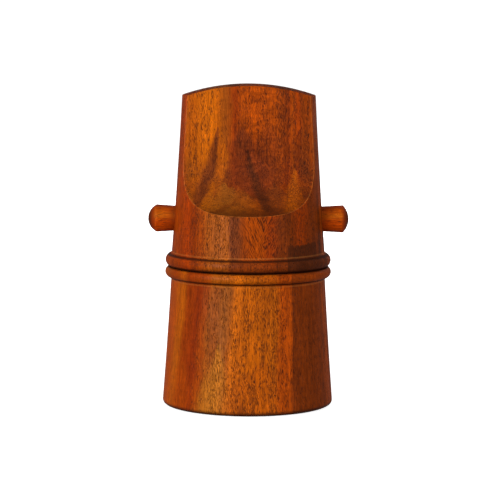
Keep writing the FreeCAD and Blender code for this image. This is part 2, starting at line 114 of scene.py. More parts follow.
class Shader:
    """One material's node tree, with short ways to add nodes to it."""

    def __init__(self, name):
        self.material = bpy.data.materials.new(name)
        self.material.use_nodes = True
        self.tree = self.material.node_tree
        self.bsdf = self.tree.nodes["Principled BSDF"]
        coordinates = self.tree.nodes.new("ShaderNodeTexCoord")
        self.normal = coordinates.outputs["Normal"]
        self.point = self.vector("SCALE", coordinates.outputs["Object"], scale=1 / MM)

    def feed(self, socket, value):
        if isinstance(value, bpy.types.NodeSocket):
            self.tree.links.new(value, socket)
        else:
            socket.default_value = value

    def named(self, name, socket):
        """Names the node that a value comes from, so that a copy of the tree can change it."""
        socket.node.name = name
        return socket

    def math(self, operation, *values):
        node = self.tree.nodes.new("ShaderNodeMath")
        node.operation = operation
        for socket, value in zip(node.inputs, values):
            self.feed(socket, value)
        return node.outputs[0]

    def vector(self, operation, *values, scale=None):
        node = self.tree.nodes.new("ShaderNodeVectorMath")
        node.operation = operation
        for socket, value in zip(node.inputs, values):
            self.feed(socket, value)
        if scale is not None:
            node.inputs["Scale"].default_value = scale
        return node.outputs["Value"] if operation == "LENGTH" else node.outputs["Vector"]

    def split(self, vector):
        node = self.tree.nodes.new("ShaderNodeSeparateXYZ")
        self.feed(node.inputs[0], vector)
        return node.outputs

    def join(self, x, y, z):
        node = self.tree.nodes.new("ShaderNodeCombineXYZ")
        for socket, value in zip(node.inputs, (x, y, z)):
            self.feed(socket, value)
        return node.outputs[0]

    def noise(self, vector, detail=2.0, roughness=0.5):
        """(value, colour) of noise with features about one unit across."""
        node = self.tree.nodes.new("ShaderNodeTexNoise")
        self.feed(node.inputs["Vector"], vector)
        node.inputs["Scale"].default_value = 1.0
        node.inputs["Detail"].default_value = detail
        node.inputs["Roughness"].default_value = roughness
        return node.outputs["Fac"], node.outputs["Color"]

    def cells(self, vector):
        """(distance to the nearest seed, that seed's random colour), one seed per unit."""
        node = self.tree.nodes.new("ShaderNodeTexVoronoi")
        self.feed(node.inputs["Vector"], vector)
        node.inputs["Scale"].default_value = 1.0
        return node.outputs["Distance"], node.outputs["Color"]

    def smooth(self, value, start, end, low=0.0, high=1.0):
        """low at or before start, high at or past end, and a smooth step between them."""
        node = self.tree.nodes.new("ShaderNodeMapRange")
        node.interpolation_type = "SMOOTHSTEP"
        for socket, number in zip(node.inputs, (value, start, end, low, high)):
            self.feed(socket, number)
        return node.outputs[0]

    def spread(self, value, low, high):
        """Noise from its middle range stretched linearly to low..high."""
        node = self.tree.nodes.new("ShaderNodeMapRange")
        node.clamp = False
        for socket, number in zip(node.inputs, (value, 0.25, 0.75, low, high)):
            self.feed(socket, number)
        return node.outputs[0]

    def ramp(self, value, stops, interpolation="LINEAR"):
        node = self.tree.nodes.new("ShaderNodeValToRGB")
        node.color_ramp.interpolation = interpolation
        elements = node.color_ramp.elements
        while len(elements) < len(stops):
            elements.new(0.5)
        for element, (position, color) in zip(elements, stops):
            element.position = position
            element.color = color
        self.feed(node.inputs[0], value)
        return node.outputs["Color"]

    def mix(self, factor, first, second):
        node = self.tree.nodes.new("ShaderNodeMix")
        node.data_type = "RGBA"
        self.feed(node.inputs[0], factor)
        self.feed(node.inputs[6], first)
        self.feed(node.inputs[7], second)
        return node.outputs[2]

    def scaled(self, color, factor):
        """A colour times a grey factor."""
        return self.vector("MULTIPLY", color, self.join(factor, factor, factor))

    def bump(self, height, distance):
        """A normal tipped by a height, whose 0 to 1 stands for the distance in metres."""
        node = self.tree.nodes.new("ShaderNodeBump")
        node.inputs["Distance"].default_value = distance
        self.feed(node.inputs["Height"], height)
        return node.outputs["Normal"]

    def times(self, *factors):
        """The product of two or more values."""
        product = factors[0]
        for factor in factors[1:]:
            product = self.math("MULTIPLY", product, factor)
        return product

    def scaled_noise(self, vector, scale, detail=2.0, roughness=0.5):
        """(value, colour) of noise with the given features per unit along each axis."""
        return self.noise(self.vector("MULTIPLY", vector, scale), detail, roughness)


# ---- the teak's figure --------------------------------------------------------------------

# Each band list gives the wood's colour across the board, as (x in mm, colour).
HEAD_SKIN = [
    (-34, RUSSET), (-28, EMBER), (-25, RUSSET), (-22, SIENNA), (-17, OCHRE), (-13, TAN),
    (-10, TAN), (-8, PLUM), (-5, PLUM), (-2, SIENNA), (5, SIENNA), (10, RUSSET),
    (15, CHESTNUT), (19, CHESTNUT), (24, RUSSET), (29, CHESTNUT), (33, UMBER),
]
HEAD_CUT = [
    (-31, SIENNA), (-28, OCHRE), (-25, AMBER), (-20, HONEY), (-16.5, HONEY), (-14, AMBER),
    (-11, FAWN), (-6, RUSSET), (-3, SIENNA), (1, FLAME), (4, FLAME), (9, SIENNA),
    (14, SIENNA), (18, RUSSET), (20.5, SIENNA), (22.5, RUSSET), (25, CHESTNUT), (31, UMBER),
]
BASE_SKIN = [
    (-36, OCHRE), (-33, FLAME), (-29.5, AMBER), (-26, RUSSET), (-21, BRICK), (-17.5, SIENNA),
    (-15, TAN), (-9, TAN), (-6.5, OCHRE), (-4, HONEY), (-1, AMBER), (3, AMBER), (8, AMBER),
    (12, AMBER), (16, FLAME), (19, FLAME), (21, CHESTNUT), (29, CHESTNUT), (37, CHESTNUT),
]
# The peg's bands run up and down across it; their dark ends at 6.3 mm are painted shade along its
# top and bottom edges.
PEG_BANDS_WITH_EDGE_SHADE = [(-6.3, RUSSET), (-4.8, COPPER), (-1, COPPER), (2.5, AMBER), (5.4, FLAME), (6.3, RUSSET)]

# How crowded the pores are across the board, as (x in mm, share).
HEAD_PORES = [
    (-32, 0.3), (-26, 0.6), (-20, 0.9), (-9, 0.9), (-4, 0.7), (16, 0.85), (21, 0.7), (33, 0.4),
]
HEAD_CUT_PORES = [
    (-32, 0.25), (-27, 0.55), (-16, 0.75), (-13, 0.4), (-9, 0.4), (-5, 0.6), (0, 0.7),
    (16, 0.85), (21, 1.0), (28, 1.0), (33, 0.5),
]
BASE_PORES = [(-24, 0.12), (-17, 0.5), (-8, 0.7), (0, 0.85), (8, 1.0), (17, 0.95), (21, 0.4)]
PEG_PORES = [(-6, 0.35), (6, 0.35)]

# Layers of open pores: which way they lean, cells per mm across and along, and size in cells.
PORE_LAYERS = [(1, 2.8, 0.28, 0.46), (-1, 2.4, 0.22, 0.43), (1, 3.9, 0.38, 0.50)]

# A streak is a run of other-coloured wood on the front: its colour, its strength, and its
# course as (z, x, half width) in mm from the bottom up.  One that starts above the neck lies
# only in the cut faces of the grip.
HEAD_STREAKS = [
    (WINE, 0.9, [
        (99, 3, 8), (105, 0.5, 12), (109, 0.5, 12), (117, 0, 10), (122, -2, 8),
        (126, -3, 5), (131, -3, 0),
    ]),
    (WINE, 0.55, [(100, 8, 5), (105, 8, 7), (118, 8.5, 7.5), (125, 9, 7), (132, 9, 0)]),
    (OLIVE, 0.8, [(90, -8, 12), (95, -9, 12), (98, -9, 11), (101, -10, 7), (105, -12, 0)]),
    (PLUM, 0.8, [(90, 12, 6.5), (97, 12.2, 6), (101, 12.4, 5), (105, 12.5, 0)]),
    (CHESTNUT, 0.75, [(65.7, 4, 20), (70.8, 4, 20)]),
    (FAWN, 0.9, [(100, -15.8, 0.8), (104, -14.4, 1.5), (108, -13.2, 1.8), (111, -12.6, 0)]),
    (AMBER, 0.75, [(108, -12.6, 0.8), (113, -11.9, 2.2), (118, -11.6, 2.6), (127, -12, 0)]),
    (PLUM, 0.95, [
        (95, -24.5, 2.4), (99, -22.8, 3.2), (102, -21.4, 3.4), (110, -18.2, 3.4), (117, -16, 2.6),
        (123, -15.2, 1.6), (131, -14.2, 0),
    ]),
    (COCOA, 0.9, [
        (94, 9, 3.6), (98, 7, 3.4), (102, 4.6, 2.8), (107, 3, 2.4), (113, 1.6, 2.2), (121, -0.5, 0),
    ]),
    (COCOA, 0.35, [
        (96, -23.6, 1.0), (102, -20.6, 1.6), (110, -17.3, 1.6), (117, -15.4, 1.0), (127, -14.4, 0),
    ]),
    (COCOA, 0.35, [(118, -4, 1.5), (122, -3.5, 3.5), (127, -3, 3.5), (133, -2.5, 0)]),
    (CHESTNUT, 0.5, [(129, -3, 1.5), (132.5, -2.4, 4), (137, -2, 0)]),
    (CHESTNUT, 0.55, [(112, 17, 0), (117, 16.9, 1.6), (123, 16.8, 2.6), (150, 16.2, 2.8)]),
    (UMBER, 0.5, [(92, -18, 3), (94, -12, 2.4), (97, -7, 1.8), (100, -2.6, 1.2), (102, -1.6, 0)]),
    (FAWN, 0.5, [(91.2, 0, 9), (94, 0, 7), (97, -1, 5), (100, -3, 3), (104, -5, 0)]),
    (AMBER, 0.6, [(93, 19.5, 3.6), (98, 20.5, 4), (103, 21, 3.2), (112, 21.5, 0)]),
    (CHESTNUT, 0.75, [(96, 30, 3), (104, 28.5, 5), (111, 28, 5), (116, 28, 0)]),
    (UMBER, 0.8, [(108, 28, 0), (114, 27, 6.5), (124, 27, 6), (142, 30, 0)]),
]
# The dark corner that ends at the right board's glue line, as a streak's course.
HEAD_PATCH = [(66, 27, 17), (75.5, 27, 17), (77.4, 28, 14), (78.6, 31, 0)]
BASE_STREAKS = [
    (PLUM, 0.45, [(16, -12.5, 0), (26, -12.5, 3), (40, -13, 5), (59, -13, 5.4)]),
    (STRAW, 0.75, [(-1, -10.5, 7), (10, -10.5, 6), (24, -10, 3), (34, -10, 0)]),
    (OLIVE, 0.6, [(24, -8, 0), (36, -8.5, 3), (60, -9, 3.4)]),
    (UMBER, 0.3, [(22, 8, 0), (40, 8, 1.6), (60, 9, 2.6)]),
    (HONEY, 0.45, [(60.6, -8, 8), (62, -7, 9), (64.8, -7, 9)]),
    (BRICK, 0.5, [(60.6, -33, 6), (64.8, -33, 6)]),
    (SIENNA, 0.7, [(60.6, -21, 4), (64.8, -21, 4)]),
    (RUSSET, 0.35, [(60.6, 13, 8), (64.8, 13, 8)]),
    (SIENNA, 0.35, [(-1, 8, 13), (12, 8, 12), (26, 8, 0)]),
    (FLAME, 0.5, [(-1, -27, 6), (14, -26, 5), (24, -26, 0)]),
    (SIENNA, 0.5, [(60.6, 28, 9), (64.8, 28, 9)]),
    (UMBER, 0.6, [(-1, 3, 1), (5, 2.8, 0.7), (9, 2.8, 0)]),
]

# Where pores fan out in a V: its middle x, its strength, and its course as a streak's.
HATCH = [
    (7.0, 0.95, [(71, 6.5, 11), (93, 6, 11)]),
    (-2.0, 0.4, [(126, -1, 0), (132, -1, 6), (147, 0, 8)]),
]
HATCH_SLANT = 0.42
# Layers of its pores: cells per mm across and along, and size in cells.
HATCH_LAYERS = [(1.7, 0.15, 0.46), (1.3, 0.11, 0.42), (2.3, 0.21, 0.45)]
HATCH_CHANCE = (0.05, 0.25)   # the random numbers over which a cell's pore comes to show
# Where the wood of the grip is rippled, as a streak's course.
RIPPLE = [(97, 5, 6), (108, 4, 10), (122, 4, 12), (140, 6, 10), (148, 7, 8)]

BAND_REACH = 50.0             # mm either side of the axis that the band ramps cover
STREAK_FLOOR, STREAK_CEILING = -10.0, 160.0
WIDEST_STREAK = 20.0          # the largest half width that a course can state
STREAK_REACH = 1.5            # where a streak ends, in half widths
STREAK_LEAST = 0.02           # mm, so that a streak's end is never quite a line
STREAK_CORE = 0.15            # the share of that reach that has its full strength
STREAK_FOOT = (-2.5, 0.5)     # mm about a course's first height over which it sets in
STREAK_TIP = (-1.0, 1.0)      # mm about its last height over which it ends
FRONT_Y = (-9.0, -7.0)        # streaks belong to wood in front of this

FIGURE_NOISE = (0.06, 0.06, 0.03)     # noise scales: features per mm along x, y and the grain
WAVER_NOISE = (0.30, 0.30, 0.12)
FIGURE_DRIFT = 3.0            # mm that the bands stray across the board, slowly
FIGURE_WAVER = 3.4            # mm that they waver besides
STREAK_WAVER = 5.0            # mm that streaks waver along the grain
FIBRE_WAVER = 2.2             # mm that fibres and pores waver
BACK_Y = (-14.0, 30.0)        # from the first to the second y the bands open out
BACK_SPREAD = -0.35           # the change in their scale at the back
BACK_SHIFT = 4.0
LEANING_X = (-4.0, 10.0)      # where a leaning figure turns upright

# How a point is told to lie in the cut faces: steps above the neck, about the flats' own y, and
# in depth below the turned side, in mm.
CUT_ABOVE_NECK = (4.0, 6.0)
CUT_ABOUT_FLAT = (-0.5, -0.1)
CUT_DEPTH = (0.1, 0.5)
# Painted shade: the cut faces darken towards the foot of the cove.
COVE_SHADE_Z = (104.0, 130.0)
COVE_SHADE = 0.68

# Flat-sawn arches on the flanks: where they set in, their noise scale, and how it shows.
FLANK_X = (20.0, 32.0)
FLANK_Y = (10.0, 24.0)
ARCH_SCALE_THROUGH, ARCH_SCALE_ALONG = 0.32, 0.018
ARCH_EDGE = (0.42, 0.60)
ARCH_STRENGTH = 0.55

# Tones of the wood: noise scale, detail, roughness, darkest and brightest factor.
TONES = {
    "broad": ((0.40, 0.40, 0.02), 3.0, 0.5, 0.86, 1.14),
    "fibre": ((2.3, 2.3, 0.08), 4.0, 0.65, 0.50, 1.50),
    "thread": ((3.7, 3.7, 0.14), 3.0, 0.6, 0.80, 1.20),
    "mottle": ((0.8, 0.8, 0.5), 4.0, 0.7, 0.88, 1.12),
    "bars": ((0.10, 0.10, 0.42), 2.0, 0.5, 0.90, 1.10),
}

SWAY_NOISE = (0.12, 0.12, 0.12)
RIPPLE_SWAY = 8.0             # mm that the ripples sway along the grain
RIPPLE_SCALE_ACROSS, RIPPLE_SCALE_ALONG = 0.10, 0.50
RIPPLE_TONE = (0.50, 1.55)

CROWD_NOISE = (0.45, 0.45, 0.025)
CROWD_EDGE = (0.35, 0.62)
CROWD_SHARE = (0.3, 1.3)      # factor on the share of pores where they are sparse and crowded
PORE_CHANCE = (-0.1, 0.3)     # how far the share must pass a cell's random number
PORE_CORE = 0.35              # the share of a pore's size that is fully dark
PORE_DARKNESS = 0.90

END_GRAIN_FACING = (0.84, 0.96)
END_GRAIN_DARKNESS = 0.52

# Painted shade in the creases, in the gap between head and base, and along the bottom edge: (height,
# reach at full strength, reach where it ends) in mm.
HEAD_PAINTED_SHADE = [(71.1, 0.1, 0.7), (65.5, 0.5, 1.6)]
BASE_PAINTED_SHADE = [(60.5, 0.1, 0.7), (65.5, 0.1, 0.8), (0.0, 0.8, 3.0)]
PAINTED_SHADE_STRENGTH = 0.9
# Painted highlight on the lip above or below a crease, given the same way.
HEAD_PAINTED_HIGHLIGHT = [(72.3, 0.1, 0.5)]
BASE_PAINTED_HIGHLIGHT = [(59.3, 0.1, 0.5)]
PAINTED_HIGHLIGHT_STRENGTH = 0.16
# The painted highlight along the edge of the cut faces, by depth below the turned side in mm.
EDGE_HIGHLIGHT_FROM = (0.08, 0.18)
EDGE_HIGHLIGHT_TO = (0.25, 0.50)
EDGE_HIGHLIGHT_PATCHES = (0.35, 0.65)
EDGE_HIGHLIGHT_STRENGTH = (0.04, 0.28)
# Tints along a peg, by distance from the turning axis in mm: start, end, strength at each, tint. The
# deep brown one at the root is painted shade where the peg meets the head.
PEG_TINTS = [
    (35.0, 42.0, 0.45, 0.0, EMBER),
    # painted shade where the peg meets the head
    (34.0, 38.0, 0.4, 0.0, DEEP_BROWN),
    (43.2, 44.6, 0.0, 0.85, BRICK),
    (44.4, 46.2, 0.0, 0.65, DEEP_BROWN),
]
GLUE_REACH = (0.05, 0.35)     # mm from the seam
GLUE_STRENGTH = 0.3

SHEEN_NOISE = (0.12, 0.12, 0.05)
WOOD_ROUGHNESS = (0.36, 0.46)
PORE_ROUGHNESS = 0.25         # added to it in a pore
END_ROUGHNESS = 0.12          # and on end grain
WOOD_SPECULAR = 0.08
WOOD_RELIEF = 0.00008         # metres
FIBRE_RELIEF = 0.25           # against a pore's 1


def bands(shader, across, colors):
    """The board's colour at a distance across it."""
    place = shader.math("MULTIPLY_ADD", across, 0.5 / BAND_REACH, 0.5)
    stops = [(0.5 + 0.5 * x / BAND_REACH, color) for x, color in colors]
    return shader.ramp(place, stops, "EASE")


def share_across(shader, across, shares):
    """A share from 0 to 1 at a distance across the board."""
    colors = [(x, (share, share, share, 1.0)) for x, share in shares]
    return shader.split(bands(shader, across, colors))[0]


def streak_mask(shader, across, height, course):
    """How much a point lies in a streak, from 0 to 1, with feathered sides and ends.

    One colour ramp along the grain holds the course: red is its middle, green its half width.
    """
    span = STREAK_CEILING - STREAK_FLOOR
    place = shader.math("MULTIPLY_ADD", height, 1 / span, -STREAK_FLOOR / span)
    stops = []
    for z, x, half_width in course:
        shape = (0.5 + 0.5 * x / BAND_REACH, half_width / WIDEST_STREAK, 0.0, 1.0)
        stops.append(((z - STREAK_FLOOR) / span, shape))
    center, half_width, _ = shader.split(shader.ramp(place, stops))
    offset = shader.math("MULTIPLY_ADD", center, -2 * BAND_REACH, BAND_REACH)
    distance = shader.math("ABSOLUTE", shader.math("ADD", across, offset))
    outer = shader.math("MULTIPLY_ADD", half_width, WIDEST_STREAK * STREAK_REACH, STREAK_LEAST)
    inner = shader.times(outer, STREAK_CORE)
    inside = shader.smooth(distance, inner, outer, 1.0, 0.0)
    set_in, full = (course[0][0] + step for step in STREAK_FOOT)
    fading, gone = (course[-1][0] + step for step in STREAK_TIP)
    above = shader.smooth(height, set_in, full, 0.0, 1.0)
    below = shader.smooth(height, fading, gone, 1.0, 0.0)
    return shader.times(inside, shader.times(above, below))


def pore_cells(shader, point, slant, across, along, fill):
    """Short open vessels along the grain, leaning by the given slant: one per cell.

    Gives how much a point lies in a vessel, and a random number that all of its cell shares.
    """
    x, y, z = shader.split(point)
    leaning = shader.join(shader.math("MULTIPLY_ADD", z, slant, x), y, z)
    distance, color = shader.cells(shader.vector("MULTIPLY", leaning, (across, across, along)))
    chance = shader.split(color)[0]
    return shader.smooth(distance, fill * PORE_CORE, fill, 1.0, 0.0), chance


# ---- teak ---------------------------------------------------------------------------------

class Teak(Shader):
    """Teak with its grain along Z, or along X: a shader that knows the figure's coordinates.

    x, y and z are in mm, with z along the grain.  across and height are where the point lies
    in the bands and streaks, and wavy is where it lies among the fibres and pores.
    """

    def __init__(self, name, seed, along_x, lean):
        super().__init__(name)
        self.end_axis = 0 if along_x else 2
        x, y, z = self.split(self.point)
        if along_x:
            x, z = self.math("SUBTRACT", z, PEG_Z), x
        self.x, self.y, self.z = x, y, z
        seeded_x = self.named("seed_x", self.math("ADD", x, seed))
        seeded_y = self.named("seed_y", self.math("ADD", y, seed))
        self.grain = self.join(seeded_x, seeded_y, z)

        drift_x, _, _ = self.straying(FIGURE_NOISE, 3.0)
        waver_x, waver_y, waver_z = self.straying(WAVER_NOISE, 3.0, 0.6)
        self.height = self.math("MULTIPLY_ADD", waver_z, STREAK_WAVER, z)
        self.wavy = self.join(
            self.math("MULTIPLY_ADD", waver_x, FIBRE_WAVER, seeded_x),
            self.math("MULTIPLY_ADD", waver_y, FIBRE_WAVER, seeded_y),
            z,
        )
        wander = self.math("MULTIPLY_ADD", drift_x, FIGURE_DRIFT, self.times(waver_x, FIGURE_WAVER))
        back = self.smooth(y, *BACK_Y, 0.0, 1.0)
        scale = self.math("MULTIPLY_ADD", back, BACK_SPREAD, 1.0)
        spread = self.math("MULTIPLY_ADD", x, scale, self.times(back, BACK_SHIFT))
        self.across = self.math("ADD", spread, wander)
        if lean:
            left_part = self.smooth(x, *LEANING_X, 1.0, 0.0)
            drop = self.math("SUBTRACT", BASE_HIGH.z, z)
            leaning = self.times(left_part, self.times(drop, lean))
            self.across = self.math("ADD", self.across, leaning)
        self.front = self.smooth(y, *FRONT_Y, 1.0, 0.0)

    def straying(self, scale, detail, roughness=0.5):
        """Three noises about zero, at the seeded point."""
        _, color = self.scaled_noise(self.grain, scale, detail, roughness)
        return self.split(self.vector("SUBTRACT", color, (0.5, 0.5, 0.5)))

    def front_streak(self, course):
        """A streak's mask in the figure's coordinates, on the front only."""
        return self.times(streak_mask(self, self.across, self.height, course), self.front)

    def find_cut(self):
        """Finds the flats and coves of the head, where the wood shows its inner figure."""
        radius = self.vector("LENGTH", self.join(self.x, self.y, 0.0))
        rise_length = HEAD_RIM_Z - HEAD_NECK_Z
        narrowing = HEAD_RIM_RADIUS - HEAD_NECK_RADIUS
        rise = self.math("MULTIPLY_ADD", self.z, 1 / rise_length, -HEAD_NECK_Z / rise_length)
        straight = self.math("MULTIPLY_ADD", rise, narrowing, HEAD_NECK_RADIUS)
        bow = self.times(rise, self.math("SUBTRACT", 1.0, rise))
        side = self.math("MULTIPLY_ADD", bow, -4 * HEAD_HOLLOW, straight)
        self.cut_depth = self.math("SUBTRACT", side, radius)
        off_middle = self.math("ABSOLUTE", self.y)
        self.above_neck = self.times(
            self.smooth(self.z, *(HEAD_NECK_Z + step for step in CUT_ABOVE_NECK)),
            self.smooth(off_middle, *(HEAD_FLAT_Y + step for step in CUT_ABOUT_FLAT)),
        )
        self.is_cut = self.times(self.smooth(self.cut_depth, *CUT_DEPTH), self.above_neck)


def figured(wood, skin, cut, streaks, patch):
    """The board's colour: its bands, those of the cut faces, and the streaks across both."""
    color = bands(wood, wood.across, skin)
    if cut:
        # painted shade: the cut faces darken towards the foot of the cove
        painted_cove_shade = wood.smooth(wood.z, *COVE_SHADE_Z, COVE_SHADE, 1.0)
        cut_color = wood.scaled(bands(wood, wood.across, cut), painted_cove_shade)
        color = wood.mix(wood.is_cut, color, cut_color)
    for tint, strength, course in streaks:
        mask = wood.front_streak(course)
        if cut and course[0][0] > HEAD_NECK_Z:
            mask = wood.times(mask, wood.is_cut)
        color = wood.mix(wood.times(mask, strength), color, tint)
    if patch:
        mask = wood.named("patch", wood.times(wood.front_streak(patch), 0.0))
        color = wood.mix(mask, color, COCOA)
    return color


def arched(wood, color):
    """Flat-sawn arches on the flanks, where the board's own bands would all be one colour."""
    flank = wood.times(
        wood.smooth(wood.math("ABSOLUTE", wood.x), *FLANK_X),
        wood.smooth(wood.math("ABSOLUTE", wood.y), *FLANK_Y, 1.0, 0.0),
    )
    through = wood.times(wood.split(wood.wavy)[1], ARCH_SCALE_THROUGH)
    along = wood.times(wood.z, ARCH_SCALE_ALONG)
    arches, _ = wood.noise(wood.join(0.0, through, along), 4.0, 0.6)
    mask = wood.times(flank, wood.smooth(arches, *ARCH_EDGE, 0.0, ARCH_STRENGTH))
    return wood.mix(mask, color, FLAME)


def toned(wood, color):
    """Broad and fine tone along the grain, and cross bars: the colour, and each tone's noise."""
    noises = {}
    for name, (scale, detail, roughness, darkest, brightest) in TONES.items():
        noises[name], _ = wood.scaled_noise(wood.wavy, scale, detail, roughness)
        color = wood.scaled(color, wood.spread(noises[name], darkest, brightest))
    return color, noises


def rippled(wood, color):
    """Short swaying bars across the grain, in the middle of the grip."""
    _, sway = wood.scaled_noise(wood.wavy, SWAY_NOISE)
    swayed = wood.math("MULTIPLY_ADD", wood.split(sway)[2], RIPPLE_SWAY, wood.z)
    across = wood.times(wood.x, RIPPLE_SCALE_ACROSS)
    bars, _ = wood.noise(wood.join(across, 0.0, wood.times(swayed, RIPPLE_SCALE_ALONG)), 2.0, 0.6)
    barred = wood.scaled(color, wood.spread(bars, *RIPPLE_TONE))
    return wood.mix(wood.times(wood.front_streak(RIPPLE), wood.is_cut), color, barred)


def hatched(wood, color, hatch):
    """Interlocked grain seen on its face: long pores that fan out upwards in a V.

    Gives the colour, and the share of the wood that is left with straight grain.
    """
    straight_grain = 1.0
    for middle, strength, course in hatch:
        off_middle = wood.math("ABSOLUTE", wood.math("SUBTRACT", wood.x, middle))
        slanted = wood.math("MULTIPLY_ADD", wood.z, -HATCH_SLANT, off_middle)
        fanned = wood.join(slanted, wood.y, wood.z)
        strokes = 0.0
        for across_scale, along_scale, fill in HATCH_LAYERS:
            vessel, chance = pore_cells(wood, fanned, 0.0, across_scale, along_scale, fill)
            vessel = wood.times(vessel, wood.smooth(chance, *HATCH_CHANCE))
            strokes = wood.math("MAXIMUM", strokes, vessel)
        where = wood.times(streak_mask(wood, wood.x, wood.z, course), wood.front, strength)
        color = wood.mix(wood.times(strokes, where), color, DEEP_BROWN)
        straight_grain = wood.math("SUBTRACT", straight_grain, where)
    return color, straight_grain


def open_pores(wood, crowding, cut_crowding, straight_grain, slant):
    """How much a point lies in an open pore: crowded in some bands, and sparse in others."""
    share = share_across(wood, wood.across, crowding)
    if cut_crowding:
        more = wood.math("SUBTRACT", share_across(wood, wood.across, cut_crowding), share)
        share = wood.math("MULTIPLY_ADD", wood.is_cut, more, share)
    crowd, _ = wood.scaled_noise(wood.wavy, CROWD_NOISE, 3.0, 0.6)
    share = wood.times(share, straight_grain, wood.smooth(crowd, *CROWD_EDGE, *CROWD_SHARE))
    pore = 0.0
    for side, across_scale, along_scale, fill in PORE_LAYERS:
        vessel, chance = pore_cells(
            wood, wood.wavy, side * slant, across_scale, along_scale, fill
        )
        present = wood.smooth(wood.math("SUBTRACT", share, chance), *PORE_CHANCE)
        pore = wood.math("MAXIMUM", pore, wood.times(vessel, present))
    return pore


def painted_edge_highlight(wood, color, mottle):
    """Painted highlight along the edge of the cut faces, pale in patches."""
    near_edge = wood.times(
        wood.smooth(wood.cut_depth, *EDGE_HIGHLIGHT_FROM),
        wood.smooth(wood.cut_depth, *EDGE_HIGHLIGHT_TO, 1.0, 0.0),
    )
    patches = wood.smooth(mottle, *EDGE_HIGHLIGHT_PATCHES, *EDGE_HIGHLIGHT_STRENGTH)
    highlighted = wood.times(wood.above_neck, patches)
    return wood.mix(wood.times(near_edge, highlighted), color, HIGHLIGHT_PALE)


def ringed(wood, color, rings, strength, tint):
    """Tints rings round the turned wood, each given as the painted shade and the painted highlight
    rings are.
    """
    for ring_z, inner, outer in rings:
        off = wood.math("ABSOLUTE", wood.math("SUBTRACT", wood.z, ring_z))
        color = wood.mix(wood.smooth(off, inner, outer, strength, 0.0), color, tint)
    return color


def peg_tinted(wood, color):
    """A peg's wood: redder at the root, with painted shade where it meets the head, and dark round
    the end.
    """
    off_axis = wood.math("ABSOLUTE", wood.z)
    for start, end, first_strength, last_strength, tint in PEG_TINTS:
        mask = wood.smooth(off_axis, start, end, first_strength, last_strength)
        color = wood.mix(mask, color, tint)
    return color


def glued(wood, color):
    """The glue line between two boards: board() says where it runs."""
    seam = wood.named("seam", wood.math("MULTIPLY_ADD", wood.z, 0.0, 0.0))
    off_seam = wood.math("ABSOLUTE", wood.math("SUBTRACT", wood.x, seam))
    return wood.mix(wood.smooth(off_seam, *GLUE_REACH, GLUE_STRENGTH, 0.0), color, DEEP_BROWN)


def oil(wood, color, pore, end_grain, fibre):
    """A satin oil finish over the colour: pores and end grain stay dull."""
    wood.feed(wood.bsdf.inputs["Base Color"], color)
    sheen, _ = wood.scaled_noise(wood.grain, SHEEN_NOISE, 3.0)
    roughness = wood.spread(sheen, *WOOD_ROUGHNESS)
    roughness = wood.math("MULTIPLY_ADD", pore, PORE_ROUGHNESS, roughness)
    roughness = wood.math("MULTIPLY_ADD", end_grain, END_ROUGHNESS, roughness)
    wood.feed(wood.bsdf.inputs["Roughness"], roughness)
    wood.bsdf.inputs["Specular IOR Level"].default_value = WOOD_SPECULAR
    relief = wood.math("MULTIPLY_ADD", fibre, FIBRE_RELIEF, wood.times(pore, -1.0))
    wood.feed(wood.bsdf.inputs["Normal"], wood.bump(relief, WOOD_RELIEF))


def teak(name, skin, crowding, cut=None, cut_crowding=None, streaks=(), patch=(), hatch=(),
         slant=0.03, lean=0.0, painted_shade=(), painted_highlight=(), is_peg=False, seed=0.0):
    """Oiled teak, its grain along Z, or along X for the pegs.

    A body's boards share one figure: each board wears a copy from board(), which sets its own
    seed, glue line and patch.
    """
    wood = Teak(name, seed, is_peg, lean)
    if cut:
        wood.find_cut()
    color = figured(wood, skin, cut, streaks, patch)
    color = arched(wood, color)
    color, noises = toned(wood, color)
    if cut:
        color = rippled(wood, color)
    color, straight_grain = hatched(wood, color, hatch)
    pore = open_pores(wood, crowding, cut_crowding, straight_grain, slant)
    color = wood.mix(wood.times(pore, PORE_DARKNESS), color, DEEP_BROWN)

    # end grain drinks more oil and looks darker
    facing_end = wood.math("ABSOLUTE", wood.split(wood.normal)[wood.end_axis])
    end_grain = wood.smooth(facing_end, *END_GRAIN_FACING)
    color = wood.mix(wood.times(end_grain, END_GRAIN_DARKNESS), color, DEEP_BROWN)

    # painted highlight along the edge of the cut faces
    if cut:
        color = painted_edge_highlight(wood, color, noises["mottle"])
    # painted highlight on the lips of the creases
    color = ringed(wood, color, painted_highlight, PAINTED_HIGHLIGHT_STRENGTH, HIGHLIGHT_PALE)
    # painted shade in the creases, in the gap between head and base, and along the bottom edge
    color = ringed(wood, color, painted_shade, PAINTED_SHADE_STRENGTH, DEEP_BROWN)
    color = peg_tinted(wood, color) if is_peg else glued(wood, color)
    oil(wood, color, pore, end_grain, noises["fibre"])
    return wood.material


def board(body_wood, name, seed, seam, patch=0.0):
    """One board's own cut of a body's wood: its seed, its glue line and how dark its patch is."""
    material = body_wood.copy()
    material.name = name
    nodes = material.node_tree.nodes
    nodes["seed_x"].inputs[1].default_value = seed
    nodes["seed_y"].inputs[1].default_value = seed
    seam_bottom, seam_top, z_bottom, z_top = seam
    slope = (seam_top - seam_bottom) / (z_top - z_bottom)
    nodes["seam"].inputs[1].default_value = slope
    nodes["seam"].inputs[2].default_value = seam_bottom - slope * z_bottom
    if "patch" in nodes:
        nodes["patch"].inputs[1].default_value = patch
    return material


# ---- metals and felt ----------------------------------------------------------------------

TOOL_LINES = 9.0              # per mm
TOOL_RELIEF = 0.00002         # metres
TOOL_TONE = (0.92, 1.06)
SMUDGE_NOISE = (0.2, 0.2, 0.2)
SMUDGE_SHARE = (0.15, 0.75)
DULLED = 0.62                 # how dark metal gets where it is smudged
FELT_DARK = linear(24, 38, 24)
FELT_LIGHT = linear(66, 84, 58)
FELT_RELIEF = 0.0003          # metres


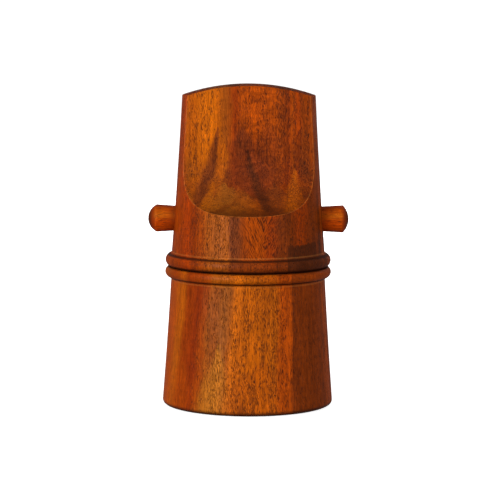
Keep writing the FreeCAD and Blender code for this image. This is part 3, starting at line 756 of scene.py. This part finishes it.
def turned_metal(name, color, roughness, metallic=1.0):
    """Metal off the lathe: fine tool lines round the axis, and a dulled, handled surface."""
    shader = Shader(name)
    x, y, z = shader.split(shader.point)
    radius = shader.vector("LENGTH", shader.join(x, y, 0.0))
    lathe = shader.join(shader.times(radius, TOOL_LINES), 0.0, shader.times(z, TOOL_LINES))
    lines, _ = shader.noise(lathe)
    smudge, _ = shader.scaled_noise(shader.point, SMUDGE_NOISE, 4.0, 0.6)
    dark = tuple(channel * DULLED for channel in color[:3]) + (1.0,)
    tone = shader.mix(shader.spread(smudge, *SMUDGE_SHARE), color, dark)
    lined = shader.scaled(tone, shader.spread(lines, *TOOL_TONE))
    shader.feed(shader.bsdf.inputs["Base Color"], lined)
    shader.bsdf.inputs["Metallic"].default_value = metallic
    rough = shader.spread(smudge, roughness - 0.06, roughness + 0.10)
    shader.feed(shader.bsdf.inputs["Roughness"], rough)
    shader.feed(shader.bsdf.inputs["Normal"], shader.bump(lines, TOOL_RELIEF))
    return shader.material


def felt_material(name):
    """Dark green wool felt, fuzzy and matt."""
    shader = Shader(name)
    fuzz, _ = shader.scaled_noise(shader.point, (2.2, 2.2, 2.2), 5.0, 0.75)
    patch, _ = shader.scaled_noise(shader.point, (0.15, 0.15, 0.15))
    green = shader.mix(shader.spread(fuzz, 0.1, 0.9), FELT_DARK, FELT_LIGHT)
    patchy = shader.scaled(green, shader.spread(patch, 0.85, 1.1))
    shader.feed(shader.bsdf.inputs["Base Color"], patchy)
    shader.feed(shader.bsdf.inputs["Roughness"], shader.spread(fuzz, 0.90, 1.0))
    shader.bsdf.inputs["Specular IOR Level"].default_value = 0.1
    shader.bsdf.inputs["Sheen Weight"].default_value = 0.4
    shader.feed(shader.bsdf.inputs["Normal"], shader.bump(fuzz, FELT_RELIEF))
    return shader.material


def dress(nodes, material):
    """Gives a material to the CAD nodes of these names."""
    for name in nodes:
        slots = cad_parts[name].data.materials
        slots.clear()
        slots.append(material)


FELT_SPOKES = 96
FELT_RINGS = (0.0, 0.2, 0.4, 0.6, 0.8, 0.93)    # shares of the disc's radius
FELT_EDGE = 0.35              # the rounding of its edge, as a share of its thickness
FELT_BEVEL = 0.3              # where the rounding's middle lies, as a share of the rounding
FRAY = 0.006                  # the deepest nick in the edge, as a share of the radius
FRAY_SCALE = 900              # nicks per metre, roughly
FRAY_POWER = 8                # how fast fraying dies away from the edge


def felt_profile(radius, bottom, top):
    """Half of the disc's section as (radius, z), from the middle below to the middle above."""
    rings = [radius * share for share in FELT_RINGS]
    edge = FELT_EDGE * (top - bottom)
    rounding = [
        (radius - edge, bottom),
        (radius - FELT_BEVEL * edge, bottom + FELT_BEVEL * edge),
        (radius, bottom + edge),
        (radius, top - edge),
        (radius - FELT_BEVEL * edge, top - FELT_BEVEL * edge),
        (radius - edge, top),
    ]
    return [(r, bottom) for r in rings] + rounding + [(r, top) for r in reversed(rings)]


def felt_loop(mesh, r, z, radius):
    """One ring of the disc's points, frayed towards the edge, or its single middle point."""
    if r == 0:
        return [mesh.verts.new((0, 0, z))]
    loop = []
    for spoke in range(FELT_SPOKES):
        turn = 2 * math.pi * spoke / FELT_SPOKES
        place = Vector((r * math.cos(turn), r * math.sin(turn), z))
        nick = FRAY * abs(noise.noise(place * FRAY_SCALE)) * (r / radius) ** FRAY_POWER
        loop.append(mesh.verts.new((place.x * (1 - nick), place.y * (1 - nick), z)))
    return loop


def join_loops(mesh, first, second):
    """Faces between two rings of points, either of which may be a single middle point."""
    for spoke in range(FELT_SPOKES):
        after = (spoke + 1) % FELT_SPOKES
        if len(first) == 1:
            mesh.faces.new((first[0], second[after], second[spoke]))
        elif len(second) == 1:
            mesh.faces.new((first[spoke], first[after], second[0]))
        else:
            mesh.faces.new((first[spoke], first[after], second[after], second[spoke]))


def felt_disc(material):
    """The pad under the base: a punched disc of felt with a soft, uneven edge."""
    low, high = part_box("base_pad")
    radius = high.x
    mesh = bmesh.new()
    loops = [felt_loop(mesh, r, z, radius) for r, z in felt_profile(radius, low.z, high.z)]
    for first, second in zip(loops[:-1], loops[1:]):
        join_loops(mesh, first, second)
    bmesh.ops.recalc_face_normals(mesh, faces=mesh.faces)
    data = bpy.data.meshes.new("felt_disc")
    mesh.to_mesh(data)
    mesh.free()
    data.shade_smooth()
    data.materials.append(material)
    disc = bpy.data.objects.new("felt_disc", data)
    bpy.context.scene.collection.objects.link(disc)
    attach(disc, "base")
    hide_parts("base_pad")


# ---- stage --------------------------------------------------------------------------------

FLOOR_RADIUS = 3.0
BACKDROP_RADIUS = 4.0
FLOOR_GLOW_REACH = (60.0, 700.0)      # mm from the axis over which the floor brightens
FLOOR_GLOW = 0.82
BACKDROP_GLOW = 1.1
WHITE = (1.0, 1.0, 1.0, 1.0)
PALE = (0.8, 0.8, 0.8, 1.0)
BLACK = (0.0, 0.0, 0.0, 1.0)
WORLD_STRENGTH = 0.16

CAMERA_AIM = Vector((0.00085, 0.0, 0.0727))
CAMERA_DISTANCE = 1.034
CAMERA_PITCH = math.radians(6.0)
CAMERA_ROLL = math.radians(0.3)
CAMERA_SENSOR = 36.0          # mm
CAMERA_LENS = 158.4           # mm


def paper(name, color, glow, far_glow):
    """White card that glows evenly out of the lights' reach, so that no horizon shows."""
    shader = Shader(name)
    x, y, _ = shader.split(shader.point)
    reach = shader.vector("LENGTH", shader.join(x, y, 0.0))
    shader.bsdf.inputs["Base Color"].default_value = color
    shader.bsdf.inputs["Roughness"].default_value = 0.9
    shader.bsdf.inputs["Specular IOR Level"].default_value = 0.0
    shader.bsdf.inputs["Emission Color"].default_value = WHITE
    strength = shader.smooth(reach, *FLOOR_GLOW_REACH, glow, far_glow)
    shader.feed(shader.bsdf.inputs["Emission Strength"], strength)
    return shader.material


def stage_piece(name, material):
    """Names the object just added, gives it its material, and hides it from diffuse and glossy rays,
    so that it casts no light on the part.
    """
    piece = bpy.context.object
    piece.name = name
    piece.data.materials.append(material)
    piece.visible_diffuse = False
    piece.visible_glossy = False
    return piece


def build_stage():
    bpy.ops.mesh.primitive_circle_add(vertices=96, radius=FLOOR_RADIUS, fill_type="NGON")
    disc = stage_piece("floor", paper("white_floor", PALE, FLOOR_GLOW, BACKDROP_GLOW))
    bpy.ops.mesh.primitive_uv_sphere_add(segments=64, ring_count=32, radius=BACKDROP_RADIUS)
    backdrop = stage_piece("backdrop", paper("white_backdrop", BLACK, BACKDROP_GLOW, BACKDROP_GLOW))
    backdrop.visible_shadow = False


def softbox(name, azimuth, elevation, distance, size, power, glossy=True):
    """An area light aimed at the object; azimuth 0 is in front, and 90 on the +X side."""
    turn = math.radians(azimuth)
    rise = math.radians(elevation)
    target = Vector((0, 0, HEAD_NECK_Z * MM))
    toward = Vector((
        math.sin(turn) * math.cos(rise),
        -math.cos(turn) * math.cos(rise),
        math.sin(rise),
    ))
    data = bpy.data.lights.new(name, "AREA")
    data.shape = "RECTANGLE"
    data.size, data.size_y = size
    data.energy = power
    light = bpy.data.objects.new(name, data)
    bpy.context.scene.collection.objects.link(light)
    light.location = target + toward * distance
    light.rotation_euler = (-toward).to_track_quat("-Z", "Y").to_euler()
    light.visible_glossy = glossy
    light.visible_camera = False


def build_lights():
    softbox("key_light", -40, 18, distance=1.1, size=(0.45, 0.8), power=10.5)
    softbox("front_fill", 45, 8, distance=1.4, size=(0.9, 0.9), power=12.0, glossy=False)
    softbox("top_light", -10, 72, distance=1.0, size=(0.6, 0.6), power=0.5, glossy=False)
    softbox("back_light", 165, 25, distance=1.3, size=(1.2, 0.9), power=10.0, glossy=False)
    world = bpy.data.worlds.new("studio")
    world.use_nodes = True
    background = world.node_tree.nodes["Background"]
    background.inputs["Color"].default_value = WHITE
    background.inputs["Strength"].default_value = WORLD_STRENGTH
    bpy.context.scene.world = world


def build_camera():
    """A long lens, a little above level, aimed just right of the turning axis."""
    data = bpy.data.cameras.new("camera")
    data.sensor_width = CAMERA_SENSOR
    data.lens = CAMERA_LENS
    camera = bpy.data.objects.new("camera", data)
    bpy.context.scene.collection.objects.link(camera)
    toward = Vector((0, -math.cos(CAMERA_PITCH), math.sin(CAMERA_PITCH)))
    camera.location = CAMERA_AIM + toward * CAMERA_DISTANCE
    camera.rotation_euler = (CAMERA_AIM - camera.location).to_track_quat("-Z", "Y").to_euler()
    camera.rotation_euler.rotate_axis("Z", CAMERA_ROLL)
    bpy.context.scene.camera = camera


# ---- assembly -----------------------------------------------------------------------------

def dress_head():
    body_wood = teak(
        "teak_head", HEAD_SKIN, HEAD_PORES, HEAD_CUT, HEAD_CUT_PORES, HEAD_STREAKS, HEAD_PATCH,
        HATCH, slant=0.20, painted_shade=HEAD_PAINTED_SHADE, painted_highlight=HEAD_PAINTED_HIGHLIGHT,
    )
    left_seam = (HEAD_LEFT_SEAM, HEAD_LEFT_SEAM, HEAD_LOW.z, HEAD_HIGH.z)
    seam = (HEAD_RIGHT_SEAM, HEAD_RIGHT_SEAM, HEAD_LOW.z, HEAD_HIGH.z)
    left = board(body_wood, "teak_reddish_head", seed=40.0, seam=left_seam)
    center = board(body_wood, "teak_golden_head", seed=0.0, seam=seam)
    right = board(body_wood, "teak_dark_head", seed=90.0, seam=seam, patch=1.0)
    bpy.data.materials.remove(body_wood)
    dress(["head_board_left"], left)
    dress(["head_board_center"], center)
    dress(["head_board_right"], right)
    dress(
        ["left_peg", "right_peg"],
        teak("teak_peg", PEG_BANDS_WITH_EDGE_SHADE, PEG_PORES, is_peg=True, seed=310.0),
    )


def dress_base():
    body_wood = teak(
        "teak_base", BASE_SKIN, BASE_PORES, streaks=BASE_STREAKS, lean=0.10, painted_shade=BASE_PAINTED_SHADE,
        painted_highlight=BASE_PAINTED_HIGHLIGHT,
    )
    left_seam = (-BASE_SEAM_BOTTOM, -BASE_SEAM_TOP, BASE_LOW.z, BASE_HIGH.z)
    seam = (BASE_SEAM_BOTTOM, BASE_SEAM_TOP, BASE_LOW.z, BASE_HIGH.z)
    left = board(body_wood, "teak_reddish_base", seed=140.0, seam=left_seam)
    center = board(body_wood, "teak_golden_base", seed=200.0, seam=seam)
    right = board(body_wood, "teak_dark_base", seed=260.0, seam=seam)
    bpy.data.materials.remove(body_wood)
    dress(["base_board_left"], left)
    dress(["base_board_center"], center)
    dress(["base_board_right"], right)


def dress_mechanism():
    dress(
        ["anvil_plate", "press_foot", "foot_spindle", "threaded_plunger"],
        turned_metal("turned_steel", (0.62, 0.62, 0.63, 1.0), 0.30),
    )
    dress(
        ["threaded_ring", "thrust_washer"],
        turned_metal("brass", (0.86, 0.60, 0.20, 1.0), 0.40, metallic=0.7),
    )
    dress(
        ["ring_screws", "plunger_screws", "anvil_screw", "anvil_washer", "retaining_washer",
         "retaining_ring"],
        turned_metal("screw_steel", (0.48, 0.48, 0.50, 1.0), 0.38),
    )


dress_head()
dress_base()
dress_mechanism()
felt_disc(felt_material("felt"))
build_stage()
build_lights()
build_camera()
bpy.context.scene.view_settings.view_transform = "Standard"
